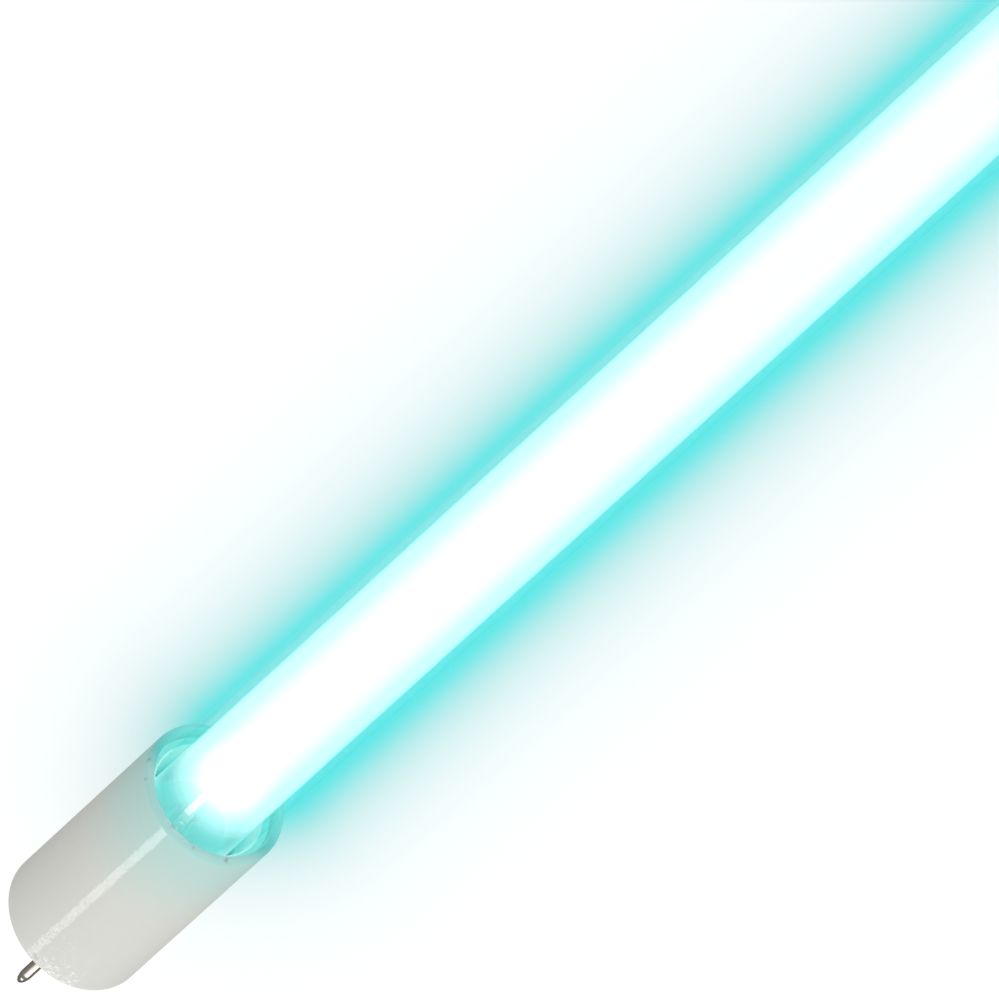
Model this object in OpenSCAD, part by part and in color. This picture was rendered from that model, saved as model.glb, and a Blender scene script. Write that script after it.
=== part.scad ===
// Double ended germicidal lamp: a quartz tube with a ceramic cap, a press seal and an electrode at each end.
// The lamp lies along X, its middle at the origin. The two pins of an end stand one above the other, along Z.
// A depth is a distance inward along X from the outer face of the cap at that end.

/* [Tube] */
// Outside diameter of the quartz tube
tube_d = 15; // [14.5:0.5:25]
// Wall of the quartz tube
tube_wall = 1; // [0.8:0.1:1.5]
// Length of the lamp from the outer face of one cap to that of the other
lamp_l = 303; // [150:1:1500]

/* [Cap] */
// Length of a ceramic cap
cap_l = 36; // [30:1:60]
// Wall of the cap round its mouth
cap_wall = 1.1; // [0.8:0.1:3]
// Thickness of the closed end of the cap
end_wall = 3; // [2:0.5:6]
// Radial gap between tube and cap that the cement fills
seam = 1; // [0.8:0.1:2]
// Radial gap round the tube in the narrower inner half of the cap
guide_gap = 0.5; // [0.3:0.05:0.6]
// Depth of the cement below the lip of the cap
mouth_recess = 2; // [0.5:0.5:4]
// Radius of the rounded edge of the closed end
end_round = 0.5; // [0.2:0.1:1]
// Radius of the rounded outer edge of the lip
lip_round = 0.75; // [0.3:0.05:0.8]
// Radius of the small round on the inner edge of the lip
lip_inner_round = 0.25; // [0.1:0.05:0.3]

/* [Pins] */
// Distance from the axis of a pin to the wall of the guide bore
pin_inset = 1.65; // [1.6:0.05:3]
// Diameter of a pin
pin_d = 1.5; // [1:0.1:2]
// Length of a pin outside the cap
pin_out = 8.3; // [5:0.1:12]
// Length of the rounded nose of a pin
nose_l = 1.1; // [0.5:0.1:3]
// How much thicker a pin is, all round, where it goes through the closed end of the cap
shank_step = 0.2; // [0.2:0.05:0.35]
// Radial height of the flange that seats a pin inside the cap
flange_lip = 0.45; // [0.3:0.05:0.6]
// Thickness of that flange
flange_t = 0.6; // [0.3:0.1:1.5]
// Radial wall of the barrel that is crimped on the lead
barrel_wall = 0.4; // [0.2:0.05:0.5]
// Length of that barrel
barrel_l = 2.4; // [1.5:0.1:3.5]

/* [Press seal] */
// Length of the flat pressed end of the tube
pinch_l = 11; // [10:0.5:13]
// Thickness of the flat pressed end
pinch_t = 3.6; // [2.6:0.1:4.5]
// Length over which the round tube runs down to the flat end
shoulder_l = 5; // [4:0.5:7]
// Gap from the closed end of the cap to the flat end of the tube, for the leads
lead_room = 8; // [6:0.5:10]
// Depth of the pad that the jaws leave on each side of the flat end
pad_depth = 0.4; // [0.1:0.1:0.8]
// Height of the exhaust tip above the middle of the shoulder at the right end
tip_l = 2.4; // [1.6:0.1:3]
// Diameter of the exhaust tip
tip_d = 2.4; // [1.6:0.1:3]

/* [Leads] */
// Distance between the two leads in a press seal
lead_pitch = 6.4; // [5:0.1:8]
// Diameter of a lead wire
lead_d = 0.7; // [0.4:0.05:0.8]
// Length of a foil
foil_l = 7; // [5:0.5:8.5]
// Width of a foil
foil_w = 2.6; // [1.5:0.1:3.2]
// Thickness of a foil
foil_t = 0.1; // [0.05:0.01:0.15]
// Length over which a lead is welded to its foil
weld_l = 1.5; // [0.8:0.1:2]

/* [Electrode] */
// Distance from the flat end to the axis of the electrode
electrode_reach = 9; // [7:0.5:20]
// Outside diameter of the electrode coil
coil_d = 1.4; // [1.1:0.05:2]
// Diameter of the coiled wire
coil_wire_d = 0.24; // [0.16:0.02:0.26]
// Turns of the coil
coil_turns = 13; // [6:1:18]

/* [Mercury] */
// Diameter of the mercury bead
bead_d = 1.2; // [0.6:0.1:2]
// Distance of the bead from the lip of the left cap
bead_reach = 14; // [5:1:50]

/* [Hidden] */
$fn = 96;
// Clearance all round between a seam of cement and the glass or the ceramic
bond_gap = 0.02;
// Clearance all round the shank of a pin in its hole
pin_gap = 0.05;
// Clearance all round a lead in its barrel and a coil tail in its hook
lead_gap = 0.03;
// The smallest gap that keeps two touching curved faces apart
rest_gap = 0.02;
// How far a cutting solid runs past the face that it opens
past = 1;

tube_r = tube_d / 2;
bore_r = tube_r - tube_wall;
mouth_r = tube_r + seam;
guide_r = tube_r + guide_gap;
cap_r = mouth_r + cap_wall;
pin_r = pin_d / 2;
shank_r = pin_r + shank_step;
pin_pitch = 2 * (guide_r - pin_inset);
lead_r = lead_d / 2;

// Depths along one end
pin_in = end_wall + flange_t + barrel_l;
pinch_d0 = end_wall + lead_room;
pinch_d1 = pinch_d0 + pinch_l;
shoulder_d1 = pinch_d1 + shoulder_l;
cement_d1 = cap_l - mouth_recess;
foil_d0 = pinch_d0 + (pinch_l - foil_l) / 2;
foil_d1 = foil_d0 + foil_l;
electrode_d = pinch_d1 + electrode_reach;

// The curve of the shoulder stops short of a full half wave, so that it meets the round tube at an angle
shoulder_turn = 150;
shoulder_steps = 12;
shoulder_over = 0.3;
// Height of the slot in which the hollow of the tube ends
slot_h = 1.1;
// Margins between the jaw pad and the edges of the flat end
pad_margin = 1.6;
// Straight stretches of a lead beside its double bend, and how far the bend runs on into each of them
lead_straight = 0.5;
bend_lap = 0.3;
// The bend is this much slimmer than the straight stretches, so that it ends inside them
bend_slim = 0.98;
bend_steps = 14;
bend_sides = 16;
bend_d0 = pin_in + lead_straight;
bend_d1 = pinch_d0 - lead_straight;
// The lead turns by this much round the tail of the coil
hook_turn = 250;
// Height that the cement climbs at the glass and the ceramic, and the steps of its hollow face
meniscus = 0.35;
meniscus_steps = 8;
nose_steps = 10;
// Share of the exhaust tip that tapers, and the diameter of its drawn end
tip_taper = 0.45;
tip_end_d = 0.6;

// The coil keeps clear of the hooks at its ends, and its tails run on past them by a little
coil_wire_r = coil_wire_d / 2;
hook_r = lead_r + coil_wire_r + lead_gap;
coil_r = coil_d / 2 - coil_wire_r;
hook_side_gap = 0.2;
tail_over = 0.35;
coil_half = lead_pitch / 2 - lead_r - hook_side_gap;
tail_end = lead_pitch / 2 + lead_r + tail_over;
// Turns over which the wire opens from the axis to the full coil
coil_open = 0.75;
ring_steps = 12;
wire_sides = 8;

LEFT = -1;
RIGHT = 1;
TOP = 1;
BOTTOM = -1;

// Puts what is drawn for the left end, with depth along X, at the end that side names
module at_end(side) {
    if (side == RIGHT) mirror([1, 0, 0]) translate([-lamp_l / 2, 0, 0]) children();
    else translate([-lamp_l / 2, 0, 0]) children();
}

// Puts what is drawn for the top pin of an end at the pin that level names
module at_level(level) {
    if (level == BOTTOM) mirror([0, 0, 1]) children();
    else children();
}

// Round bar along X from depth d0 to depth d1
module rod(d0, d1, r) {
    translate([d0, 0, 0]) rotate([0, 90, 0]) cylinder(h = d1 - d0, r = r);
}

// Turns a profile of [radius, depth] points about X
module turned() {
    rotate([0, 90, 0]) rotate_extrude() children();
}

// What a round takes off a corner at the origin, where the material fills the quadrant from turn to turn + 90
module corner_cut(r, turn) {
    rotate(turn) difference() {
        translate([-past, -past]) square(r + past);
        translate([r, r]) circle(r = r);
    }
}

// Ceramic cup: closed end with two pin holes, a narrow guide bore, and a wider bore that takes the cement
module cap(side) {
    color([0.87, 0.86, 0.83]) at_end(side) difference() {
        turned() difference() {
            square([cap_r, cap_l]);
            translate([-past, end_wall]) square([guide_r + past, cap_l]);
            translate([-past, shoulder_d1]) square([mouth_r + past, cap_l]);
            translate([cap_r, 0]) corner_cut(end_round, 90);
            translate([cap_r, cap_l]) corner_cut(lip_round, 180);
            translate([mouth_r, cap_l]) corner_cut(lip_inner_round, 270);
        }
        for (z = [-pin_pitch / 2, pin_pitch / 2])
            translate([0, 0, z]) rod(-past, end_wall + past, shank_r + pin_gap);
    }
}

// Ring of cement between tube and cap, with a face hollowed a little where it set
module cement(side) {
    inner = tube_r + bond_gap;
    outer = mouth_r - bond_gap;
    color([0.90, 0.88, 0.82]) at_end(side) turned() polygon(concat(
        [[inner, shoulder_d1], [outer, shoulder_d1]],
        [for (i = [0:meniscus_steps])
            let (t = i / meniscus_steps)
                [outer + (inner - outer) * t, cement_d1 - meniscus * (1 - pow(2 * t - 1, 2))]]
    ));
}

// Contact pin: bullet nose, thicker shank through the cap, seating flange, and a barrel bored for the lead
module pin(side, level) {
    crimp_r = lead_r + lead_gap;
    barrel_r = crimp_r + barrel_wall;
    profile = concat(
        [for (i = [0:nose_steps])
            let (a = 90 * i / nose_steps)
                [pin_r * sin(a), nose_l * (1 - cos(a)) - pin_out]],
        [
            [pin_r, 0], [shank_r, 0], [shank_r, end_wall], [shank_r + flange_lip, end_wall],
            [shank_r + flange_lip, end_wall + flange_t], [barrel_r, end_wall + flange_t],
            [barrel_r, pin_in], [crimp_r, pin_in],
            [crimp_r, pin_in - barrel_l + lead_r], [0, pin_in - barrel_l + lead_r]
        ]
    );
    color([0.62, 0.60, 0.58]) at_end(side) at_level(level)
        translate([0, 0, pin_pitch / 2]) turned() polygon(profile);
}

// End of a lead that lies on its foil: half round, flat towards the foil
module weld_tail(d0) {
    intersection() {
        rod(d0, d0 + weld_l, lead_r);
        translate([d0, foil_t / 2, -lead_r]) cube([weld_l, lead_r, lead_d]);
    }
}

// The stretch of an outer lead from the end of its double bend to the weld on its foil
module sealed_lead() {
    translate([0, 0, lead_pitch / 2]) {
        rod(bend_d1, foil_d0, lead_r);
        weld_tail(foil_d0);
    }
}

// Lead outside the glass: from the barrel of a pin, through a double bend, into the seal and onto the foil
module outer_lead_shape() {
    translate([0, 0, pin_pitch / 2]) rod(pin_in - barrel_l + lead_d, bend_d0, lead_r);
    wire(bend_path, [for (p = bend_path) [0, 1, 0]], lead_r * bend_slim, bend_sides);
    sealed_lead();
}

// Strip of molybdenum that carries the current through the glass
module foil_shape() {
    translate([foil_d0, -foil_t / 2, (lead_pitch - foil_w) / 2]) cube([foil_l, foil_t, foil_w]);
}

// Lead inside the tube: from the foil to a hook that is closed round the tail of the coil
module inner_lead_shape() {
    translate([0, 0, lead_pitch / 2]) {
        weld_tail(foil_d1 - weld_l);
        rod(foil_d1, electrode_d, lead_r);
        translate([electrode_d, hook_r, 0])
            rotate_extrude(angle = hook_turn, start = 270) translate([hook_r, 0]) circle(r = lead_r);
    }
}

module outer_lead(side, level) {
    color([0.72, 0.71, 0.68]) at_end(side) at_level(level) outer_lead_shape();
}

module foil(side, level) {
    color([0.55, 0.55, 0.58]) at_end(side) at_level(level) foil_shape();
}

module inner_lead(side, level) {
    color([0.68, 0.67, 0.65]) at_end(side) at_level(level) inner_lead_shape();
}

// Half height of the pressed form at the share t of the shoulder: low at the flat, just over high at the end
function shoulder_height(t, low, high) =
    low + (high + shoulder_over - low) * (1 - cos(shoulder_turn * t)) / (1 - cos(shoulder_turn));

// The glass beyond the pressed form of one end, with its shoulder from depth d0 to depth d1
module beyond_press(d0, d1, low, high) {
    profile = concat(
        [[pinch_d0 - past, low]],
        [for (i = [0:shoulder_steps])
            let (t = i / shoulder_steps)
                [d0 + (d1 - d0) * t, shoulder_height(t, low, high)]],
        [[d1, high + 2 * past], [pinch_d0 - past, high + 2 * past]]
    );
    for (flip = [0, 1])
        mirror([0, flip, 0]) linear_extrude(height = 2 * (high + past), center = true) polygon(profile);
}

// Tapered stub where the exhaust tube was drawn off, on the middle of the shoulder
module exhaust_tip() {
    top = shoulder_height(0.5, pinch_t / 2, tube_r) + tip_l;
    neck = top - tip_l * tip_taper;
    translate([pinch_d1 + shoulder_l / 2, 0, 0]) rotate([-90, 0, 0]) rotate_extrude()
        polygon([[0, 0], [tip_d / 2, 0], [tip_d / 2, neck], [tip_end_d / 2, top], [0, top]]);
}

// Quartz tube: round between the shoulders, pressed flat round foils and leads at both ends
module quartz_tube() {
    half = lamp_l / 2 - pinch_d0;
    hollow = lamp_l / 2 - pinch_d1 - tube_wall;
    pad_l = pinch_l - 2 * pad_margin;
    pad_w = 2 * (tube_r - 2 * pad_margin);
    color([0.80, 0.94, 0.96, 0.35]) difference() {
        union() {
            difference() {
                rod(-half, half, tube_r);
                for (side = [LEFT, RIGHT])
                    at_end(side) beyond_press(pinch_d1, shoulder_d1, pinch_t / 2, tube_r);
            }
            at_end(RIGHT) exhaust_tip();
        }
        difference() {
            rod(-hollow, hollow, bore_r);
            for (side = [LEFT, RIGHT])
                at_end(side)
                    beyond_press(pinch_d1 + tube_wall, shoulder_d1 + tube_wall, slot_h / 2, bore_r);
        }
        for (side = [LEFT, RIGHT]) at_end(side) {
            for (flip = [0, 1])
                mirror([0, flip, 0]) translate([pinch_d0 + pad_margin, pinch_t / 2 - pad_depth, -pad_w / 2])
                    cube([pad_l, pad_depth + past, pad_w]);
            for (level = [TOP, BOTTOM]) at_level(level) {
                sealed_lead();
                foil_shape();
                inner_lead_shape();
            }
        }
    }
}

// Distance of the wire from the coil axis after so many turns
function coil_reach(turn) =
    let (open = min(turn, coil_turns - turn) / coil_open)
        coil_r * (open >= 1 ? 1 : (1 - cos(180 * open)) / 2);

// Point of the coil after so many turns: the coil runs along Z
function coil_point(turn) =
    [coil_reach(turn) * cos(360 * turn), coil_reach(turn) * sin(360 * turn),
        coil_half * (2 * turn / coil_turns - 1)];

// Points along the middle of the wire, from the end of one tail to that of the other
coil_path = concat(
    [[0, 0, -tail_end]],
    [for (i = [0:coil_turns * ring_steps]) coil_point(i / ring_steps)],
    [[0, 0, tail_end]]
);

// At each of those points, the direction straight away from the coil axis
coil_outward = concat(
    [[1, 0, 0]],
    [for (i = [0:coil_turns * ring_steps]) [cos(360 * i / ring_steps), sin(360 * i / ring_steps), 0]],
    [[1, 0, 0]]
);

// Points along the double bend of an outer lead, a half wave from the height of the pin to that of the foil
bend_path = concat(
    [[bend_d0 - bend_lap, 0, pin_pitch / 2]],
    [for (i = [0:bend_steps])
        let (t = i / bend_steps)
            [bend_d0 + (bend_d1 - bend_d0) * t, 0,
                pin_pitch / 2 + (lead_pitch - pin_pitch) / 4 * (1 - cos(180 * t))]],
    [[bend_d1 + bend_lap, 0, lead_pitch / 2]]
);

function unit(v) = v / norm(v);

// Direction of the wire at point i of the path
function heading(path, i) =
    unit(path[min(i + 1, len(path) - 1)] - path[max(i - 1, 0)]);

// Round wire along a path, its rings square to the path and turned to the direction in outward
module wire(path, outward, r, sides) {
    rings = len(path);
    points = [for (i = [0:rings - 1])
        let (t = heading(path, i), a = unit(outward[i] - t * (outward[i] * t)), b = cross(t, a))
            for (j = [0:sides - 1])
                path[i] + r * (a * cos(360 * j / sides) + b * sin(360 * j / sides))];
    faces = concat(
        [[for (j = [0:sides - 1]) j]],
        [for (i = [0:rings - 2], j = [0:sides - 1])
            [i * sides + j, (i + 1) * sides + j,
                (i + 1) * sides + (j + 1) % sides, i * sides + (j + 1) % sides]],
        [[for (j = [sides - 1:-1:0]) (rings - 1) * sides + j]]
    );
    polyhedron(points, faces);
}

// Electrode: a coil across the tube, hung by its tails in the hooks of the two inner leads
module filament(side) {
    color([0.86, 0.86, 0.84]) at_end(side)
        translate([electrode_d, hook_r, 0]) wire(coil_path, coil_outward, coil_wire_r, wire_sides);
}

// Bead of mercury, loose on the bottom of the tube
module mercury_bead() {
    color([0.80, 0.81, 0.83])
        translate([-lamp_l / 2 + cap_l + bead_reach, 0, -bore_r + bead_d / 2 + rest_gap]) sphere(d = bead_d);
}

quartz_tube();
mercury_bead();
cap(LEFT);  // left_cap
cement(LEFT);  // left_cement
pin(LEFT, TOP);  // left_pin_top
pin(LEFT, BOTTOM);  // left_pin_bottom
outer_lead(LEFT, TOP);  // left_outer_lead_top
outer_lead(LEFT, BOTTOM);  // left_outer_lead_bottom
foil(LEFT, TOP);  // left_foil_top
foil(LEFT, BOTTOM);  // left_foil_bottom
inner_lead(LEFT, TOP);  // left_inner_lead_top
inner_lead(LEFT, BOTTOM);  // left_inner_lead_bottom
filament(LEFT);  // left_filament
cap(RIGHT);  // right_cap
cement(RIGHT);  // right_cement
pin(RIGHT, TOP);  // right_pin_top
pin(RIGHT, BOTTOM);  // right_pin_bottom
outer_lead(RIGHT, TOP);  // right_outer_lead_top
outer_lead(RIGHT, BOTTOM);  // right_outer_lead_bottom
foil(RIGHT, TOP);  // right_foil_top
foil(RIGHT, BOTTOM);  // right_foil_bottom
inner_lead(RIGHT, TOP);  // right_inner_lead_top
inner_lead(RIGHT, BOTTOM);  // right_inner_lead_bottom
filament(RIGHT);  // right_filament
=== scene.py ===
"""Lit double ended germicidal lamp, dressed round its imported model.

A clear quartz tube full of glowing mercury vapour stands in two glazed ceramic caps, each with a ring of
cement in its mouth and two nickel plated contact pins on its closed end. The lamp lies along X with its middle
at the origin, and its caps rest on a pale floor. All lengths are in metres.
"""
from math import cos, degrees, pi, radians, sin, sqrt

import bpy
import numpy as np
from mathutils import Matrix, Vector


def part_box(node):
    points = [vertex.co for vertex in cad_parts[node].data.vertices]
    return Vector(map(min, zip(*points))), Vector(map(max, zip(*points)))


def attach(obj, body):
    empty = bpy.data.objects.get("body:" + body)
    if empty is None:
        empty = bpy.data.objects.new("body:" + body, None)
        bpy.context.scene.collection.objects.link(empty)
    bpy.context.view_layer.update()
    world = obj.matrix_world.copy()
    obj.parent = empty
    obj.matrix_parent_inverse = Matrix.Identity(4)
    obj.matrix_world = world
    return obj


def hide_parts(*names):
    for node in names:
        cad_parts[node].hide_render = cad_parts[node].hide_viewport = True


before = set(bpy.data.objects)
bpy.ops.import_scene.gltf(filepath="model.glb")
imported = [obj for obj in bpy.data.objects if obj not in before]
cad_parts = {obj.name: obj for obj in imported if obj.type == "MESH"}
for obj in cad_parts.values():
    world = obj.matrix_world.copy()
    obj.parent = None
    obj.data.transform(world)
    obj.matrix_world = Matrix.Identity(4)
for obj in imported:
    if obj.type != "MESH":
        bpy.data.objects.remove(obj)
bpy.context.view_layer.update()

MM = 0.001
BODY = "root"

# Sizes of the lamp, as in the part's source
CAP_FACE = -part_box("left_cap")[0].x
CAP_MOUTH = -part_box("left_cap")[1].x
CAP_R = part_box("left_cap")[1].z
END_WALL = 3.0 * MM
MOUTH_R = 8.5 * MM
GUIDE_R = 8.0 * MM
END_ROUND = 0.5 * MM
LIP_ROUND = 0.75 * MM
LIP_INNER_ROUND = 0.25 * MM
TUBE_R = 7.5 * MM
BORE_R = 6.5 * MM
TUBE_WALL = TUBE_R - BORE_R
PINCH_D0 = 11.0 * MM
PINCH_D1 = 22.0 * MM
PINCH_T = 3.6 * MM
SHOULDER_D1 = 27.0 * MM
SLOT_H = 1.1 * MM
CEMENT_D1 = 34.0 * MM
BOND_GAP = 0.02 * MM
MENISCUS = 0.35 * MM
PIN_LEVEL = 6.35 * MM
PIN_R = 0.75 * MM
PIN_OUT = 8.3 * MM
NOSE_L = 2.4 * MM
SHANK_R = 0.95 * MM
PIN_HOLE_R = 1.0 * MM
FLANGE_R = 1.4 * MM
FLANGE_D1 = 3.6 * MM
BARREL_R = 0.78 * MM
CRIMP_R = 0.38 * MM
PIN_IN = 6.0 * MM
CRIMP_D0 = 3.95 * MM

ENDS = {"left": -1, "right": 1}
LEVELS = {"top": 1, "bottom": -1}


# Surfaces

def arc(centre_x, centre_r, radius, start, stop, steps=8):
    """Points (x, r) of a circular arc in a turned profile, from the angle start to stop in degrees off +x."""
    a = np.radians(np.linspace(start, stop, steps + 1))
    return np.stack([centre_x + radius * np.cos(a), centre_r + radius * np.sin(a)], axis=1)


def outline(*pieces):
    """One profile from single points and runs of points, in order."""
    return np.vstack([np.atleast_2d(np.asarray(p, float)) for p in pieces])


def mesh_of_grid(name, points, sharp=32, shells=()):
    """Mesh of a grid of points, rows by columns, whose columns close on themselves.

    Each four neighbours make a face. Points that fall together are welded, and a face that keeps three corners
    becomes a triangle, so a row on the axis closes into a pole. More grids in shells join the same mesh. Edges
    that turn by more than sharp degrees are left crisp.
    """
    corners, quads, first = [], [], 0
    for grid in (points, *shells):
        rows, columns = grid.shape[:2]
        i, j = np.meshgrid(np.arange(rows - 1), np.arange(columns), indexing="ij")
        k = (j + 1) % columns
        quads.append(first + np.stack([i * columns + j, (i + 1) * columns + j, (i + 1) * columns + k,
                                       i * columns + k], axis=-1).reshape(-1, 4))
        corners.append(grid.reshape(-1, 3))
        first += rows * columns
    corners, quads = np.vstack(corners), np.vstack(quads)
    kept, places, where = np.unique(np.round(corners / 1e-8).astype(np.int64), axis=0,
                                    return_index=True, return_inverse=True)
    quads = where.reshape(-1)[quads]
    same = quads == np.roll(quads, -1, axis=1)
    whole = quads[~same.any(axis=1)]
    halves = quads[same.sum(axis=1) == 1]
    lost = same[same.sum(axis=1) == 1].argmax(axis=1)
    keep = (lost[:, None] + np.array([1, 2, 3])) % 4
    triangles = np.take_along_axis(halves, keep, axis=1)
    mesh = bpy.data.meshes.new(name)
    mesh.from_pydata(corners[places].tolist(), [], whole.tolist() + triangles.tolist())
    mesh.shade_smooth()
    mesh.set_sharp_from_angle(angle=radians(sharp))
    return mesh


def turned(profile, around=128):
    """Grid of a profile of (x, r) points turned about X: the point (x, r) goes to (x, r sin a, r cos a).

    The profile runs so that the solid lies on its left, which makes the faces point outwards.
    """
    a = np.linspace(0, 2 * pi, around, endpoint=False)
    x, r = profile[:, :1], profile[:, 1:]
    return np.stack([np.broadcast_to(x, (len(profile), around)), r * np.sin(a), r * np.cos(a)], axis=-1)


def placed(grid, side=-1, up=0.0, depth_from=CAP_FACE):
    """Puts a grid drawn with depth along X at one end of the lamp, raised by up.

    At the left end depth runs along +X from the cap's outer face. At the right end the grid is turned half way
    round Z, which keeps its faces the right way.
    """
    out = grid.copy()
    out[..., 0] -= depth_from
    out[..., 2] += up
    if side > 0:
        out[..., :2] *= -1
    return out


def piece(name, mesh, finish, replaces=()):
    """Object that rides on the lamp, with its finish and the CAD nodes that it stands for."""
    mesh.materials.append(finish)
    obj = bpy.data.objects.new(name, mesh)
    bpy.context.scene.collection.objects.link(obj)
    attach(obj, BODY)
    if replaces:
        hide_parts(*replaces)
    return obj


def carved(mesh, grids, operation="DIFFERENCE"):
    """The mesh with closed grids taken out of it or, as a UNION, grown onto it."""
    stock = bpy.data.objects.new("stock", mesh)
    bpy.context.scene.collection.objects.link(stock)
    tools = []
    for k, grid in enumerate(grids):
        tool = bpy.data.objects.new(f"tool_{k}", mesh_of_grid(f"tool_{k}", grid))
        bpy.context.scene.collection.objects.link(tool)
        cut = stock.modifiers.new("cut", "BOOLEAN")
        cut.object, cut.operation, cut.solver = tool, operation, "EXACT"
        tools.append(tool)
    bpy.context.view_layer.update()
    result = bpy.data.meshes.new_from_object(stock.evaluated_get(bpy.context.evaluated_depsgraph_get()))
    for obj in (stock, *tools):
        old = obj.data
        bpy.data.objects.remove(obj)
        bpy.data.meshes.remove(old)
    result.shade_smooth()
    result.set_sharp_from_angle(angle=radians(32))
    return result


# Shader tools

def add(tree, kind, values=None, **settings):
    """Node of a kind, with its settings and its inputs: a number or colour is set, a socket is linked."""
    node = tree.nodes.new(kind)
    for key, value in settings.items():
        setattr(node, key, value)
    for key, value in (values or {}).items():
        if isinstance(value, bpy.types.NodeSocket):
            tree.links.new(value, node.inputs[key])
        else:
            node.inputs[key].default_value = value
    return node


def work(tree, operation, a, b=0.0, c=0.0, clamp=False):
    """Result of a Math node."""
    return add(tree, "ShaderNodeMath", {0: a, 1: b, 2: c}, operation=operation, use_clamp=clamp).outputs[0]


def spread(tree, value, low, high, out_low=0.0, out_high=1.0):
    """Value taken smoothly from the range low..high to out_low..out_high."""
    node = add(tree, "ShaderNodeMapRange", {"Value": value, "From Min": low, "From Max": high,
                                            "To Min": out_low, "To Max": out_high},
               interpolation_type="SMOOTHSTEP")
    return node.outputs["Result"]


def blend(tree, share, a, b, kind="MIX"):
    """Colour a taken towards b by share."""
    node = add(tree, "ShaderNodeMix", {}, data_type="RGBA", blend_type=kind)
    for slot_index, value in ((0, share), (6, a), (7, b)):
        if isinstance(value, bpy.types.NodeSocket):
            tree.links.new(value, node.inputs[slot_index])
        else:
            node.inputs[slot_index].default_value = value
    return node.outputs[2]


def group(name, inputs, outputs):
    """Empty node group with named sockets, and its input and output nodes."""
    tree = bpy.data.node_groups.new(name, "ShaderNodeTree")
    for label, kind, default in inputs:
        socket = tree.interface.new_socket(label, in_out="INPUT", socket_type=kind)
        if default is not None:
            socket.default_value = default
    for label, kind in outputs:
        tree.interface.new_socket(label, in_out="OUTPUT", socket_type=kind)
    return tree, tree.nodes.new("NodeGroupInput"), tree.nodes.new("NodeGroupOutput")


def use(tree, shared, **values):
    """A shared group placed in a material, with its own values; underscores stand for spaces in the names."""
    node = tree.nodes.new("ShaderNodeGroup")
    node.node_tree = shared
    for key, value in values.items():
        label = key.replace("_", " ")
        if isinstance(value, bpy.types.NodeSocket):
            tree.links.new(value, node.inputs[label])
        else:
            node.inputs[label].default_value = value
    return node


def place(tree):
    """Place on the object."""
    return add(tree, "ShaderNodeTexCoord").outputs["Object"]


def finish(name, build):
    """Material whose nodes the function build lays out."""
    made = bpy.data.materials.new(name)
    made.use_nodes = True
    made.node_tree.nodes.clear()
    build(made.node_tree, add(made.node_tree, "ShaderNodeOutputMaterial"))
    return made


def rgb(r, g, b):
    """Colour with full alpha."""
    return (r, g, b, 1.0)


def mottle_group():
    """Mottle: soft clouds of two sizes, as in glaze, cement and plating."""
    tree, given, result = group("Mottle", [("Place", "NodeSocketVector", None), ("Size", "NodeSocketFloat", 5.0),
                                           ("Contrast", "NodeSocketFloat", 1.0)],
                                [("Shade", "NodeSocketFloat")])
    coarse = add(tree, "ShaderNodeTexNoise", {"Vector": given.outputs["Place"], "Scale": given.outputs["Size"],
                                              "Detail": 3.0, "Roughness": 0.55})
    fine_scale = work(tree, "MULTIPLY", given.outputs["Size"], 6.0)
    fine = add(tree, "ShaderNodeTexNoise", {"Vector": given.outputs["Place"], "Scale": fine_scale,
                                            "Detail": 2.0, "Roughness": 0.6})
    both = work(tree, "MULTIPLY_ADD", fine.outputs[0], 0.35, work(tree, "MULTIPLY", coarse.outputs[0], 0.65))
    centred = work(tree, "SUBTRACT", both, 0.5)
    shade = work(tree, "MULTIPLY_ADD", centred, given.outputs["Contrast"], 0.5, clamp=True)
    tree.links.new(shade, result.inputs["Shade"])
    return tree


def speck_group():
    """Specks: small round dots scattered one to a cell, of which only a share is kept."""
    tree, given, result = group("Specks", [("Place", "NodeSocketVector", None), ("Size", "NodeSocketFloat", 500.0),
                                           ("Share", "NodeSocketFloat", 0.1), ("Radius", "NodeSocketFloat", 0.2)],
                                [("Mask", "NodeSocketFloat")])
    cells = add(tree, "ShaderNodeTexVoronoi", {"Vector": given.outputs["Place"], "Scale": given.outputs["Size"]})
    luck = add(tree, "ShaderNodeSeparateColor", {"Color": cells.outputs["Color"]})
    kept = work(tree, "LESS_THAN", luck.outputs[0], given.outputs["Share"])
    size = work(tree, "MULTIPLY", luck.outputs[1], given.outputs["Radius"])
    dot = add(tree, "ShaderNodeMapRange", {"Value": cells.outputs["Distance"], "From Min": size, "From Max": 0.0})
    tree.links.new(work(tree, "MULTIPLY", dot.outputs["Result"], kept), result.inputs["Mask"])
    return tree


def reach_group():
    """Reach: how far a point lies outside the mouth of the nearer cap, and how far from the lamp's axis."""
    tree, given, result = group("Reach", [("Place", "NodeSocketVector", None)],
                                [("Beyond Mouth", "NodeSocketFloat"), ("Radius", "NodeSocketFloat")])
    parts = add(tree, "ShaderNodeSeparateXYZ", {"Vector": given.outputs["Place"]})
    along = work(tree, "ABSOLUTE", parts.outputs["X"])
    tree.links.new(work(tree, "SUBTRACT", CAP_MOUTH, along), result.inputs["Beyond Mouth"])
    square = work(tree, "ADD", work(tree, "MULTIPLY", parts.outputs["Y"], parts.outputs["Y"]),
                  work(tree, "MULTIPLY", parts.outputs["Z"], parts.outputs["Z"]))
    tree.links.new(work(tree, "SQRT", square), result.inputs["Radius"])
    return tree


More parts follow.
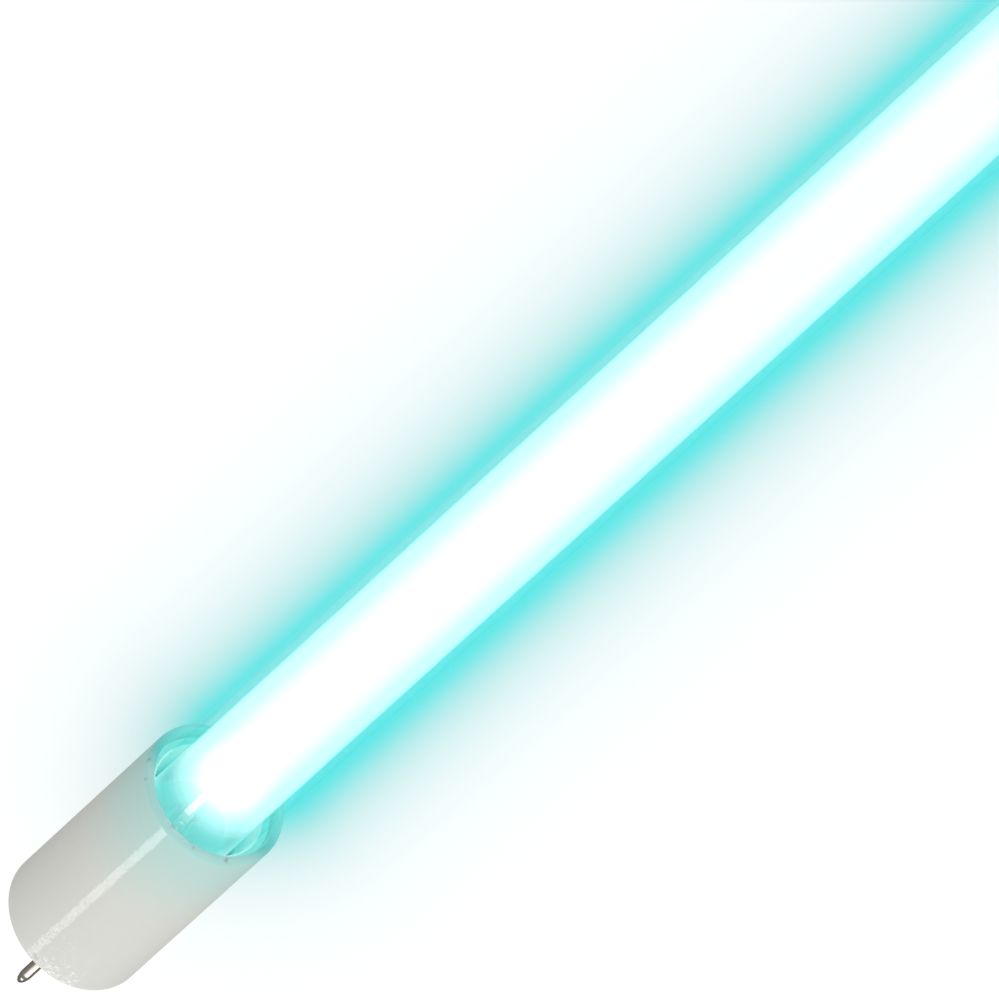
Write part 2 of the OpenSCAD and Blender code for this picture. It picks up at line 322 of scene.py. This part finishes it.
def turning_group():
    """Turning lines: fine rings round X of uneven depth, left by the lathe or the drawing die."""
    tree, given, result = group("Turning lines", [("Place", "NodeSocketVector", None),
                                                  ("Fineness", "NodeSocketFloat", 9000.0)],
                                [("Height", "NodeSocketFloat")])
    flat = add(tree, "ShaderNodeVectorMath", {0: given.outputs["Place"], 1: (1.0, 0.04, 0.04)}, operation="MULTIPLY")
    lines = add(tree, "ShaderNodeTexNoise", {"Vector": flat.outputs[0], "Scale": given.outputs["Fineness"],
                                             "Detail": 2.0})
    tree.links.new(lines.outputs[0], result.inputs["Height"])
    return tree


mottle, specks, reach, turning = mottle_group(), speck_group(), reach_group(), turning_group()


# Finishes

# Small dark spots on the left cap, five by the mouth and one on the rim of the closed end: place, radius and how dark
MARKS = (((-0.1157, 0.00904, 0.00323), 0.45 * MM, 0.55), ((-0.1160, 0.00770, 0.00573), 0.40 * MM, 0.50),
         ((-0.1156, -0.00610, 0.00680), 0.40 * MM, 0.50), ((-0.1156, -0.00210, 0.00900), 0.35 * MM, 0.40),
         ((-0.1156, 0.00150, 0.00846), 0.50 * MM, 0.60), ((-0.15033, 0.00124, 0.00952), 0.45 * MM, 0.45))


def lay_glaze(tree, out):
    """Pale grey ceramic under a thin wavy glaze, painted teal towards the mouth, whose lip and bore give off a painted
    glow.
    """
    here = place(tree)
    clouds = use(tree, mottle, Place=here, Size=420.0, Contrast=0.9).outputs["Shade"]
    dots = use(tree, specks, Place=here, Size=330.0, Share=0.07, Radius=0.16).outputs["Mask"]
    reached = use(tree, reach, Place=here)
    beyond, radius = reached.outputs["Beyond Mouth"], reached.outputs["Radius"]
    body_colour = blend(tree, clouds, rgb(0.617, 0.622, 0.581), rgb(0.655, 0.657, 0.620))
    # painted glow: the base colour turns teal towards the mouth, standing in for the tube's light
    mouth_painted_glow = blend(tree, spread(tree, beyond, -0.019, 0.0015), body_colour, rgb(0.44, 0.66, 0.62))
    lip = spread(tree, beyond, -0.0015, 0.0)
    up = add(tree, "ShaderNodeSeparateXYZ", {"Vector": here}).outputs["Z"]
    # painted glow: the lip is teal, deeper and darker teal on its lower side
    lip_painted_glow_by_height = blend(tree, spread(tree, up, 0.0048, 0.0005), rgb(0.39, 0.72, 0.68), rgb(0.13, 0.60, 0.58))
    lip_painted_glow = blend(tree, lip, mouth_painted_glow, lip_painted_glow_by_height)
    inner = work(tree, "MULTIPLY", spread(tree, radius, 0.0087, 0.00845), spread(tree, beyond, -0.030, -0.020))
    # painted glow and shade: the bore inside the mouth is dark teal
    inner_painted_glow_and_shade = blend(tree, inner, lip_painted_glow, rgb(0.10, 0.50, 0.47))
    spot_edge_noise = use(tree, mottle, Place=here, Size=1600.0, Contrast=2.0).outputs["Shade"]
    dark_spots = work(tree, "MULTIPLY", dots, 0.75)
    for spot, size, depth in MARKS:
        far = add(tree, "ShaderNodeVectorMath", {0: here, 1: spot}, operation="DISTANCE").outputs["Value"]
        uneven = work(tree, "MULTIPLY_ADD", work(tree, "SUBTRACT", spot_edge_noise, 0.5), 2.2 * size, far)
        dark_spots = work(tree, "MAXIMUM", dark_spots, spread(tree, uneven, size, size * 0.1, 0.0, depth))
    spotted = blend(tree, dark_spots, inner_painted_glow_and_shade, rgb(0.16, 0.22, 0.21))
    waves = use(tree, mottle, Place=here, Size=230.0, Contrast=1.0).outputs["Shade"]
    bump = add(tree, "ShaderNodeBump", {"Strength": 0.4, "Distance": 0.0001, "Height": waves})
    rough = spread(tree, clouds, 0.2, 0.8, 0.13, 0.22)
    facing = add(tree, "ShaderNodeLayerWeight", {"Blend": 0.5}).outputs["Facing"]
    gloss = spread(tree, facing, 0.35, 0.8, 0.55, 0.02)
    # painted glow: the bore, the guide and the lower lip give off teal light, though the ceramic is no lamp
    painted_guide_glow = work(tree, "MULTIPLY", spread(tree, radius, 0.0082, 0.0081), spread(tree, beyond, -0.022, -0.014))
    painted_wall_glow = work(tree, "MAXIMUM", work(tree, "MULTIPLY", inner, spread(tree, beyond, -0.004, 0.0)), painted_guide_glow)
    painted_lip_glow = work(tree, "MULTIPLY", lip, spread(tree, up, 0.003, -0.005, 0.0, 0.7))
    glow = blend(tree, work(tree, "MAXIMUM", painted_wall_glow, painted_lip_glow), rgb(0.0, 0.0, 0.0), rgb(0.12, 0.35, 0.33))
    skin = add(tree, "ShaderNodeBsdfPrincipled", {"Base Color": spotted, "Roughness": rough,
                                                  "Specular IOR Level": 0.0, "Coat Weight": gloss,
                                                  "Coat Roughness": 0.05, "Coat IOR": 1.5,
                                                  "Emission Color": glow, "Emission Strength": 1.0,
                                                  "Normal": bump.outputs[0], "Coat Normal": bump.outputs[0]})
    tree.links.new(skin.outputs[0], out.inputs["Surface"])


def lay_cement(tree, out):
    """Dull, slightly porous cement, with a painted teal colour and glow for the tube that it holds, and pores painted
    darker as shade.
    """
    here = place(tree)
    clouds = use(tree, mottle, Place=here, Size=900.0, Contrast=1.6).outputs["Shade"]
    pores = use(tree, specks, Place=here, Size=2600.0, Share=0.3, Radius=0.3).outputs["Mask"]
    # painted glow: the cement is coloured teal, standing in for the tube's light
    colour = blend(tree, clouds, rgb(0.10, 0.46, 0.43), rgb(0.16, 0.56, 0.52))
    # painted shade: the pores are darker
    painted_glow_and_pore_shade = blend(tree, pores, colour, rgb(0.08, 0.32, 0.30))
    height = work(tree, "SUBTRACT", clouds, pores)
    bump = add(tree, "ShaderNodeBump", {"Strength": 0.6, "Distance": 0.0001, "Height": height})
    reached = use(tree, reach, Place=here)
    # painted glow: the cement gives off teal light, paler next to the tube
    by_tube = work(tree, "MULTIPLY", spread(tree, reached.outputs["Radius"], 0.00775, 0.0076),
                   spread(tree, reached.outputs["Beyond Mouth"], -0.012, -0.004))
    glow = blend(tree, by_tube, rgb(0.126, 0.367, 0.346), rgb(0.45, 0.52, 0.50))
    skin = add(tree, "ShaderNodeBsdfPrincipled", {"Base Color": painted_glow_and_pore_shade, "Roughness": 0.85,
                                                  "Emission Color": glow, "Emission Strength": 1.0,
                                                  "Normal": bump.outputs[0]})
    tree.links.new(skin.outputs[0], out.inputs["Surface"])


def metal(low, high, rough_low, rough_high, line_depth, fineness=9000.0, tint=(0.9, 0.9, 0.9)):
    """Layout of a metal whose colour and gloss run between two values, with fine turning lines."""
    def lay(tree, out):
        here = place(tree)
        clouds = use(tree, mottle, Place=here, Size=1500.0, Contrast=1.3).outputs["Shade"]
        lines = use(tree, turning, Place=here, Fineness=fineness).outputs["Height"]
        colour = blend(tree, clouds, rgb(*low), rgb(*high))
        rough = spread(tree, clouds, 0.25, 0.75, rough_low, rough_high)
        bump = add(tree, "ShaderNodeBump", {"Strength": line_depth, "Distance": 0.00001, "Height": lines})
        skin = add(tree, "ShaderNodeBsdfPrincipled", {"Base Color": colour, "Metallic": 1.0, "Roughness": rough,
                                                      "Specular Tint": rgb(*tint), "Normal": bump.outputs[0]})
        tree.links.new(skin.outputs[0], out.inputs["Surface"])
    return lay


def lay_coat(tree, out):
    """White emitter paste baked on tungsten, with darker wire showing in patches and a faint working glow."""
    here = place(tree)
    clouds = use(tree, mottle, Place=here, Size=4000.0, Contrast=2.2).outputs["Shade"]
    colour = blend(tree, clouds, rgb(0.30, 0.29, 0.29), rgb(0.82, 0.81, 0.78))
    bump = add(tree, "ShaderNodeBump", {"Strength": 0.7, "Distance": 0.00004, "Height": clouds})
    skin = add(tree, "ShaderNodeBsdfPrincipled", {"Base Color": colour, "Roughness": 0.8,
                                                  "Emission Color": rgb(1.0, 0.42, 0.16),
                                                  "Emission Strength": 0.35, "Normal": bump.outputs[0]})
    tree.links.new(skin.outputs[0], out.inputs["Surface"])


def lay_quartz(tree, out):
    """Quartz with the slight draw lines of a drawn tube, tinted cyan as a painted glow. Shadow rays pass straight
    through it.

    Towards the outline a part of it is see-through, which keeps the thin wall from looking milky; that part is tinted
    cyan too, more by the mouths, where the rim also gives off a painted glow.
    """
    here = place(tree)
    lines = use(tree, turning, Place=here, Fineness=60.0).outputs["Height"]
    bump = add(tree, "ShaderNodeBump", {"Strength": 0.03, "Distance": 0.00005, "Height": lines})
    beyond = use(tree, reach, Place=here).outputs["Beyond Mouth"]
    facing = add(tree, "ShaderNodeLayerWeight", {"Blend": 0.5}).outputs["Facing"]
    rim = spread(tree, facing, 0.50, 0.66)
    # painted glow: the rim of the glass by the mouths gives off faint cyan light
    lit_wall = work(tree, "MULTIPLY", rim, spread(tree, beyond, 0.0, -0.0020))
    painted_wall_glow = blend(tree, lit_wall, rgb(0.0, 0.0, 0.0), rgb(0.07, 0.18, 0.17))
    # painted glow: the glass is tinted cyan
    glass = add(tree, "ShaderNodeBsdfPrincipled", {"Base Color": rgb(0.35, 0.99, 0.99), "Roughness": 0.02,
                                                   "IOR": 1.46, "Transmission Weight": 1.0,
                                                   "Emission Color": painted_wall_glow, "Emission Strength": 1.0,
                                                   "Normal": bump.outputs[0]})
    # painted glow: the see-through part is tinted cyan, more by the mouths
    away = work(tree, "MAXIMUM", spread(tree, beyond, 0.0, 0.005), spread(tree, beyond, -0.0005, -0.003))
    tint = blend(tree, away, rgb(0.60, 1.0, 1.0), rgb(0.84, 1.0, 1.0))
    clear = add(tree, "ShaderNodeBsdfTransparent", {"Color": tint})
    thin = work(tree, "MULTIPLY", rim, spread(tree, beyond, -0.016, -0.013, 0.0, 0.88))
    path = add(tree, "ShaderNodeLightPath")
    share = work(tree, "MAXIMUM", thin, path.outputs["Is Shadow Ray"])
    both = add(tree, "ShaderNodeMixShader", {0: share, 1: glass.outputs[0], 2: clear.outputs[0]})
    tree.links.new(both.outputs[0], out.inputs["Surface"])


def lay_discharge(tree, out):
    """Glowing vapour: a cyan skin, and inside it light that grows towards the axis.

    With q as one minus the square of the radius over the column's radius, the light per length of path is the
    peak times the root of q, and near the electrode one and a half times q cubed is added to that root. It dies
    out at the mouths of the caps, behind which the electrodes are.
    """
    reached = use(tree, reach, Place=place(tree))
    beyond, radius = reached.outputs["Beyond Mouth"], reached.outputs["Radius"]
    near = spread(tree, beyond, -0.0015, 0.0045)
    skin_colour = blend(tree, near, rgb(0.74, 0.85, 0.81), rgb(0.62, 1.12, 1.12))
    facing = add(tree, "ShaderNodeLayerWeight", {"Blend": 0.5}).outputs["Facing"]
    edge = spread(tree, facing, 0.70, 0.97)
    change = spread(tree, beyond, 0.0045, 0.0005, -0.4 * SKIN_ALPHA, 0.9 * SKIN_ALPHA)
    cover = work(tree, "MULTIPLY_ADD", edge, change, SKIN_ALPHA)
    skin = add(tree, "ShaderNodeBsdfPrincipled", {"Base Color": rgb(0.0, 0.0, 0.0), "Roughness": 1.0,
                                                  "Specular IOR Level": 0.0, "Alpha": cover,
                                                  "Emission Color": skin_colour, "Emission Strength": 1.0})
    tree.links.new(skin.outputs[0], out.inputs["Surface"])
    share = work(tree, "DIVIDE", radius, COLUMN_R)
    q = work(tree, "SUBTRACT", 1.0, work(tree, "MULTIPLY", share, share), clamp=True)
    column = work(tree, "MULTIPLY", work(tree, "SQRT", q), spread(tree, beyond, -0.0026, 0.0012))
    bright = work(tree, "MULTIPLY", spread(tree, beyond, -0.0018, 0.0020), spread(tree, beyond, 0.003, 0.012, 1.5, 0.0))
    near_glow = work(tree, "MULTIPLY", work(tree, "POWER", q, 3.0), bright)
    strength = work(tree, "MULTIPLY", work(tree, "ADD", column, near_glow), COLUMN_PEAK)
    light = add(tree, "ShaderNodeEmission", {"Color": rgb(1.0, 0.22, 0.22), "Strength": strength})
    tree.links.new(light.outputs[0], out.inputs["Volume"])


def lay_core(tree, out):
    """White middle of the discharge."""
    here = place(tree)
    beyond = use(tree, reach, Place=here).outputs["Beyond Mouth"]
    colour = blend(tree, spread(tree, beyond, 0.004, 0.016), rgb(0.80, 1.0, 1.0), rgb(1.0, 1.0, 1.0))
    skin = add(tree, "ShaderNodeBsdfPrincipled", {"Base Color": rgb(0.0, 0.0, 0.0), "Roughness": 1.0,
                                                  "Specular IOR Level": 0.0, "Alpha": 0.5, "Emission Color": colour,
                                                  "Emission Strength": CORE_GLOW})
    tree.links.new(skin.outputs[0], out.inputs["Surface"])


# How much of what lies behind each crossing of the cyan skin hides
SKIN_ALPHA = 0.45
# Radius at which the light of the column has died away
COLUMN_R = 6.38 * MM
# Light per metre of path on the axis
COLUMN_PEAK = 373.0
CORE_GLOW = 2.0

glaze = finish("glazed_cap_ceramic", lay_glaze)
cement_finish = finish("lamp_cement", lay_cement)
nickel = finish("nickel_plated_pin", metal((0.180, 0.165, 0.147), (0.215, 0.197, 0.175), 0.07, 0.12, 0.05,
                                           tint=(0.35, 0.33, 0.32)))
lead_nickel = finish("drawn_nickel_wire", metal((0.50, 0.48, 0.45), (0.62, 0.60, 0.56), 0.25, 0.4, 0.5, 4000.0))
molybdenum = finish("rolled_molybdenum", metal((0.36, 0.36, 0.39), (0.48, 0.48, 0.51), 0.3, 0.45, 0.5, 6000.0))
quicksilver = finish("mercury", metal((0.74, 0.75, 0.77), (0.80, 0.81, 0.83), 0.02, 0.05, 0.0))
emitter = finish("emitter_coat", lay_coat)
quartz = finish("quartz_with_painted_glow", lay_quartz)
discharge_glow = finish("vapour_glow", lay_discharge)
discharge_glow.cycles.volume_step_rate = 0.12
core_glow = finish("white_glow", lay_core)


# Caps

def cap_profile():
    """Closed ceramic cup as (depth, r): out along the closed end, along the side, round the lip, back inside."""
    length = CAP_FACE - CAP_MOUTH
    hold = 0.06 * MM
    r1, r2, r3 = END_ROUND, LIP_ROUND, LIP_INNER_ROUND
    return outline(
        (0, 0), (0, CAP_R - r1 - hold), arc(r1, CAP_R - r1, r1, 180, 90, 10),
        (r1 + hold, CAP_R), (length - r2 - hold, CAP_R),
        arc(length - r2, CAP_R - r2, r2, 90, 0, 12),
        arc(length - r3, MOUTH_R + r3, r3, 0, -90, 6),
        (length - r3 - hold, MOUTH_R), (SHOULDER_D1, MOUTH_R), (SHOULDER_D1, GUIDE_R),
        (END_WALL, GUIDE_R), (END_WALL, 0))


def pin_hole(level):
    """Drill for one pin hole, flared a little at the outer face as glaze leaves it."""
    flare = 0.18 * MM
    rim = PIN_HOLE_R + flare
    run = outline((-1 * MM, 0), (-1 * MM, rim), (0, rim), arc(flare, rim, flare, 180, 270, 6),
                  (END_WALL + 1 * MM, PIN_HOLE_R), (END_WALL + 1 * MM, 0))
    grid = turned(run, 48)
    grid[..., 2] += level * PIN_LEVEL
    return grid


def make_cap(end):
    cup = carved(mesh_of_grid("cup", turned(cap_profile(), 160)), [pin_hole(level) for level in (1, -1)])
    place_at(cup, ENDS[end])
    return piece(f"{end}_ceramic_cap", cup, glaze, (f"{end}_cap",))


def place_at(mesh, side):
    """Moves a mesh drawn with depth along X to its end of the lamp."""
    step = Matrix.Translation((-CAP_FACE, 0, 0))
    mesh.transform(Matrix.Rotation(pi, 4, "Z") @ step if side > 0 else step)


def make_cement(end):
    """Ring between tube and cap whose outer face is a hollow half wave, high at both walls."""
    inner, outer = TUBE_R + BOND_GAP, MOUTH_R - BOND_GAP
    t = np.linspace(0, 1, 13)
    face = np.stack([CEMENT_D1 - MENISCUS * (1 - (2 * t - 1) ** 2), outer + (inner - outer) * t], axis=1)
    ring = outline((SHOULDER_D1, outer), face, (SHOULDER_D1, inner), (SHOULDER_D1, outer))
    mesh = mesh_of_grid("ring", placed(turned(ring), ENDS[end]))
    return piece(f"{end}_cement_ring", mesh, cement_finish, (f"{end}_cement",))


def make_pin(end, level):
    """Contact pin: nose as a quarter ellipse, round wall, shank, flange and the barrel crimped on the lead."""
    a = np.radians(np.linspace(0, 90, 15))
    nose = np.stack([NOSE_L * (1 - np.cos(a)) - PIN_OUT, PIN_R * np.sin(a)], axis=1)
    profile = outline(nose, (NOSE_L - PIN_OUT + 0.05 * MM, PIN_R), (0, PIN_R), (0, SHANK_R), (END_WALL, SHANK_R),
                      (END_WALL, FLANGE_R), (FLANGE_D1, FLANGE_R), (FLANGE_D1, BARREL_R), (PIN_IN, BARREL_R),
                      (PIN_IN, CRIMP_R), (CRIMP_D0, CRIMP_R), (CRIMP_D0, 0))
    mesh = mesh_of_grid("pin", placed(turned(profile, 64), ENDS[end], LEVELS[level] * PIN_LEVEL))
    return piece(f"{end}_contact_pin_{level}", mesh, nickel, (f"{end}_pin_{level}",))


# Tube

def half_height(depth, low, high, start, stop):
    """Half height of the pressed form at a depth: low on the flat, then a part of a half wave up past high."""
    turn = radians(150)
    t = np.clip((depth - start) / (stop - start), 0, 1)
    rise = (1 - np.cos(turn * t)) / (1 - cos(turn))
    height = low + (high + 0.3 * MM - low) * rise
    return np.where(depth >= stop, high + 1 * MM, height)


def pad_dent(depth, z):
    """Dent that the jaws leave on the flat end: full depth inside its edges, with soft steps of a quarter mm."""
    margin, step = 1.6 * MM, 0.25 * MM
    def inside(value, low, high):
        rise = np.clip((value - low) / step, 0, 1) * np.clip((high - value) / step, 0, 1)
        return rise * rise * (3 - 2 * rise)
    wide = TUBE_R - 2 * margin
    return 0.4 * MM * inside(depth, PINCH_D0 + margin, PINCH_D1 - margin) * inside(z, -wide, wide)


def tube_skin(radius, low, high, start, stop, first, dent, around=192):
    """Grid of a round tube pressed flat at both ends.

    A ring is a circle whose y is cut off at the half height of the pressed form at its depth. The rings run
    from one end of the lamp to the other, closer together where the form changes.
    """
    flat = np.linspace(first, start, 24) if start > first else np.array([first])
    near = np.concatenate([flat, np.linspace(start, stop, 26)[1:],
                           [stop + 0.3 * MM, CAP_FACE - CAP_MOUTH, 60 * MM]])
    depth = np.concatenate([near, [CAP_FACE], 2 * CAP_FACE - near[::-1]])
    a = np.linspace(0, 2 * pi, around, endpoint=False)
    from_end = np.minimum(depth, 2 * CAP_FACE - depth)[:, None]
    y, z = radius * np.sin(a)[None, :], radius * np.cos(a)[None, :]
    z = np.broadcast_to(z, (len(depth), around))
    limit = half_height(from_end, low, high, start, stop)
    if dent:
        limit = limit - pad_dent(from_end, z)
    y = np.clip(y, -limit, limit)
    grid = np.stack([np.broadcast_to(depth[:, None] - CAP_FACE, y.shape), y, z], axis=-1)
    middle_first, middle_last = grid[:1].mean(axis=1, keepdims=True), grid[-1:].mean(axis=1, keepdims=True)
    cap_first = np.broadcast_to(middle_first, grid[:1].shape)
    cap_last = np.broadcast_to(middle_last, grid[-1:].shape)
    return np.concatenate([cap_first, grid, cap_last])


def exhaust_tip():
    """Grid of the tapered stub on the shoulder of the right end where the exhaust tube was drawn off."""
    foot, neck, top = 1 * MM, 6.5 * MM, 7.55 * MM
    run = outline((foot, 0), (foot, 1.2 * MM), (neck - 0.4 * MM, 1.2 * MM), (top, 0.3 * MM), (top, 0))
    grid = turned(run, 32)
    stub = np.stack([grid[..., 1], grid[..., 0], -grid[..., 2]], axis=-1)
    stub[..., 0] += CAP_FACE - (PINCH_D1 + SHOULDER_D1) / 2
    return stub


def make_tube():
    outer = tube_skin(TUBE_R, PINCH_T / 2, TUBE_R, PINCH_D1, SHOULDER_D1, PINCH_D0, True)
    inner = tube_skin(BORE_R, SLOT_H / 2, BORE_R, PINCH_D1 + TUBE_WALL, SHOULDER_D1 + TUBE_WALL,
                      PINCH_D1 + TUBE_WALL, False)
    mesh = carved(mesh_of_grid("tube", outer, 40, shells=(inner[::-1],)), [exhaust_tip()], "UNION")
    return piece("quartz_lamp_tube", mesh, quartz, ("quartz_tube",))


def make_discharge():
    """Vapour from electrode to electrode, its ends rounded, with its bright column and its white middle."""
    hollow, end, radius, round_r = CAP_MOUTH + 3.9 * MM, CAP_MOUTH + 7.5 * MM, COLUMN_R, 0.4 * MM
    nose = np.vstack([[(-hollow, 0), (-hollow, radius - 5 * round_r)],
                      [(-end + round_r, radius - 2 * round_r)], arc(-end + round_r, radius - round_r, round_r, 225, 90, 6)])
    run = outline(nose, (-CAP_MOUTH + 8 * MM, radius), (0, radius), (CAP_MOUTH - 8 * MM, radius), nose[::-1] * [-1, 1])
    piece("discharge_vapour", mesh_of_grid("discharge_vapour", turned(run, 96)), discharge_glow)
    end, radius = CAP_MOUTH - 7.5 * MM, 1.6 * MM
    t = np.linspace(0, 1, 9)[1:]
    nose = np.stack([-end + 9 * MM * t, radius * np.sqrt(1 - (1 - t) ** 2)], axis=1)
    run = outline((-end, 0), nose, (0, radius), nose[::-1] * [-1, 1], (end, 0))
    piece("discharge_core", mesh_of_grid("discharge_core", turned(run, 48)), core_glow)


def make_bead():
    """Mercury bead lying on the bottom of the bore: a ball that its weight flattens by a twentieth."""
    low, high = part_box("mercury_bead")
    middle, radius = (low + high) / 2, (high.x - low.x) / 2
    a = np.radians(np.linspace(180, 0, 25))
    ball = turned(np.stack([radius * np.cos(a), radius * np.sin(a)], axis=1), 48)
    ball[..., 2] *= 0.95
    ball += np.array([middle.x, middle.y, low.z + 0.95 * radius])
    piece("mercury_drop", mesh_of_grid("drop", ball), quicksilver, ("mercury_bead",))


for end in ENDS:
    make_cap(end)
    make_cement(end)
    for level in LEVELS:
        make_pin(end, level)
make_tube()
make_discharge()
make_bead()

for name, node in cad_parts.items():
    kinds = {"outer_lead": lead_nickel, "inner_lead": lead_nickel, "foil": molybdenum, "filament": emitter}
    for kind, metal_finish in kinds.items():
        if kind in name:
            node.data.materials.clear()
            node.data.materials.append(metal_finish)


# Floor and light

FLOOR_Z = -CAP_R


def lay_floor(tree, out):
    """White floor with a painted pool of cyan light round the lit tube, that the camera sees as bright as written.

    With d as the distance outside the tube's plumb line, the floor keeps one minus 0.875 / (1 + (d / 5.07 mm) to
    the power 1.705) of the red, and one minus 0.24 / (1 + (d / 9 mm) squared) of the green and the blue. Past the
    mouths the distance is taken round an oval end.
    """
    parts = add(tree, "ShaderNodeSeparateXYZ", {"Vector": place(tree)})
    past_end = work(tree, "MAXIMUM", work(tree, "SUBTRACT", work(tree, "ABSOLUTE", parts.outputs["X"]), CAP_MOUTH), 0.0)
    along = work(tree, "MULTIPLY", past_end, 0.64)
    across = work(tree, "ADD", parts.outputs["Y"], 0.0012)
    square = work(tree, "ADD", work(tree, "MULTIPLY", along, along), work(tree, "MULTIPLY", across, across))
    from_axis = work(tree, "SQRT", square)
    distance = work(tree, "MAXIMUM", work(tree, "SUBTRACT", from_axis, TUBE_R), 0.0)
    # painted glow: under the tube the red is taken out more, unevenly on its two sides
    under_tube = work(tree, "MAXIMUM", spread(tree, across, 0.0, 0.001, 0.875, 0.0),
                      spread(tree, across, 0.0063, 0.0083, 0.58, 0.885))
    red_wave = work(tree, "POWER", work(tree, "DIVIDE", distance, 0.00507), 1.705)
    red = work(tree, "DIVIDE", under_tube, work(tree, "ADD", red_wave, 1.0))
    green_wave = work(tree, "POWER", work(tree, "DIVIDE", distance, 0.009), 2.0)
    green = work(tree, "DIVIDE", 0.24, work(tree, "ADD", green_wave, 1.0))
    # painted pool of cyan light round the tube, in the colour that the camera sees
    tint = add(tree, "ShaderNodeCombineColor", {0: work(tree, "SUBTRACT", 1.0, red),
                                                1: work(tree, "SUBTRACT", 1.0, green),
                                                2: work(tree, "SUBTRACT", 1.0, green)})
    floor_painted_glow = tint.outputs[0]
    matt = add(tree, "ShaderNodeBsdfDiffuse", {"Color": rgb(0.62, 0.62, 0.62)})
    tinted = add(tree, "ShaderNodeBsdfDiffuse", {"Color": blend(tree, 1.0, floor_painted_glow, rgb(0.12, 0.12, 0.12), "MULTIPLY")})
    glow = add(tree, "ShaderNodeEmission", {"Color": floor_painted_glow, "Strength": 0.94})
    seen = add(tree, "ShaderNodeAddShader", {0: tinted.outputs[0], 1: glow.outputs[0]})
    path = add(tree, "ShaderNodeLightPath")
    looked = work(tree, "MAXIMUM", work(tree, "MAXIMUM", path.outputs["Is Camera Ray"], path.outputs["Is Glossy Ray"]),
                  path.outputs["Is Transmission Ray"])
    both = add(tree, "ShaderNodeMixShader", {0: looked, 1: matt.outputs[0], 2: seen.outputs[0]})
    under = add(tree, "ShaderNodeBsdfTransparent")
    back = add(tree, "ShaderNodeNewGeometry").outputs["Backfacing"]
    sided = add(tree, "ShaderNodeMixShader", {0: back, 1: both.outputs[0], 2: under.outputs[0]})
    tree.links.new(sided.outputs[0], out.inputs["Surface"])


floor_mesh = bpy.data.meshes.new("floor")
wide = 30.0
floor_mesh.from_pydata([(-wide, -wide, FLOOR_Z), (wide, -wide, FLOOR_Z), (wide, wide, FLOOR_Z), (-wide, wide, FLOOR_Z)],
                       [], [(0, 1, 2, 3)])
floor_mesh.materials.append(finish("pale_floor_with_painted_glow", lay_floor))
floor = bpy.data.objects.new("floor", floor_mesh)
bpy.context.scene.collection.objects.link(floor)


def softbox(name, place_from_mouth, across, along, radiance):
    """Flat light facing the mouth of the left cap, with one edge square to the lamp; its power gives the radiance."""
    lamp = bpy.data.lights.new(name, "AREA")
    lamp.shape, lamp.size, lamp.size_y = "RECTANGLE", across, along
    lamp.energy = radiance * pi * across * along
    obj = bpy.data.objects.new(name, lamp)
    way = Vector(place_from_mouth).normalized()
    sideways = Vector((1, 0, 0)).cross(way).normalized()
    turn = Matrix((sideways, way.cross(sideways), way)).transposed().to_4x4()
    obj.matrix_world = Matrix.Translation(Vector(place_from_mouth) - Vector((CAP_MOUTH, 0, 0))) @ turn
    bpy.context.scene.collection.objects.link(obj)
    return obj


softbox("streak_light", (-0.8842, 0.2283, 0.7821), 0.18, 0.15, 5.5)
for k, (sideways, radiance) in enumerate(((0.0686, 0.6), (0.024, 2.8), (-0.0206, 7.5), (-0.0652, 9.0), (-0.1098, 9.5))):
    edge = Vector((-0.1912, sideways, sqrt(0.0549 - 0.1912 ** 2 - sideways ** 2)))
    way = edge.normalized()
    near = softbox(f"pin_light_{k}", edge + 0.004 * (way * way.x - Vector((1, 0, 0))).normalized(), 0.0446, 0.008,
                   radiance)
    near.visible_camera = False
tip_light = softbox("tip_light", (-0.228, -0.025, 0.086), 0.10, 0.024, 8.0)
tip_light.visible_camera = False
softbox("key_light", (0.16, -0.96, 1.27), 1.2, 1.2, 1.05)

world = bpy.data.worlds.new("studio")
bpy.context.scene.world = world
world.use_nodes = True
sky = world.node_tree
sky.nodes.clear()
ray = add(sky, "ShaderNodeLightPath")
seen_by = work(sky, "MAXIMUM", work(sky, "MAXIMUM", ray.outputs["Is Camera Ray"], ray.outputs["Is Glossy Ray"]),
               ray.outputs["Is Transmission Ray"])
dim = add(sky, "ShaderNodeBackground", {"Color": rgb(1.0, 1.0, 1.0), "Strength": 0.84})
white = add(sky, "ShaderNodeBackground", {"Color": rgb(1.0, 1.0, 1.0), "Strength": 1.0})
mixed = add(sky, "ShaderNodeMixShader", {0: seen_by, 1: dim.outputs[0], 2: white.outputs[0]})
sky_out = add(sky, "ShaderNodeOutputWorld", {"Surface": mixed.outputs[0]})

# Camera: how far the photograph looks along the lamp, and the turn of the lamp in the picture
LOOK_ALONG, LOOK_ACROSS = 0.7477, 0.6640
PIN_TURN, PICTURE_TURN = radians(6.3), radians(42.412)
toward = Vector((LOOK_ALONG, LOOK_ACROSS * sin(PIN_TURN), LOOK_ACROSS * cos(PIN_TURN))).normalized()
lamp_down = Vector((-LOOK_ACROSS, LOOK_ALONG * sin(PIN_TURN), LOOK_ALONG * cos(PIN_TURN))).normalized()
lamp_side = toward.cross(lamp_down)
right = -cos(PICTURE_TURN) * lamp_down + sin(PICTURE_TURN) * lamp_side
up = -sin(PICTURE_TURN) * lamp_down - cos(PICTURE_TURN) * lamp_side
camera_data = bpy.data.cameras.new("camera")
camera_data.lens, camera_data.sensor_width = 728.0, 36.0
camera_data.clip_start, camera_data.clip_end = 0.1, 100.0
camera = bpy.data.objects.new("camera", camera_data)
bpy.context.scene.collection.objects.link(camera)
camera.matrix_world = Matrix.Translation((1.766249, 0.178933, 1.595476)) @ Matrix(
    (right, up, toward)).transposed().to_4x4()
bpy.context.scene.camera = camera

bpy.context.scene.view_settings.view_transform = "Standard"
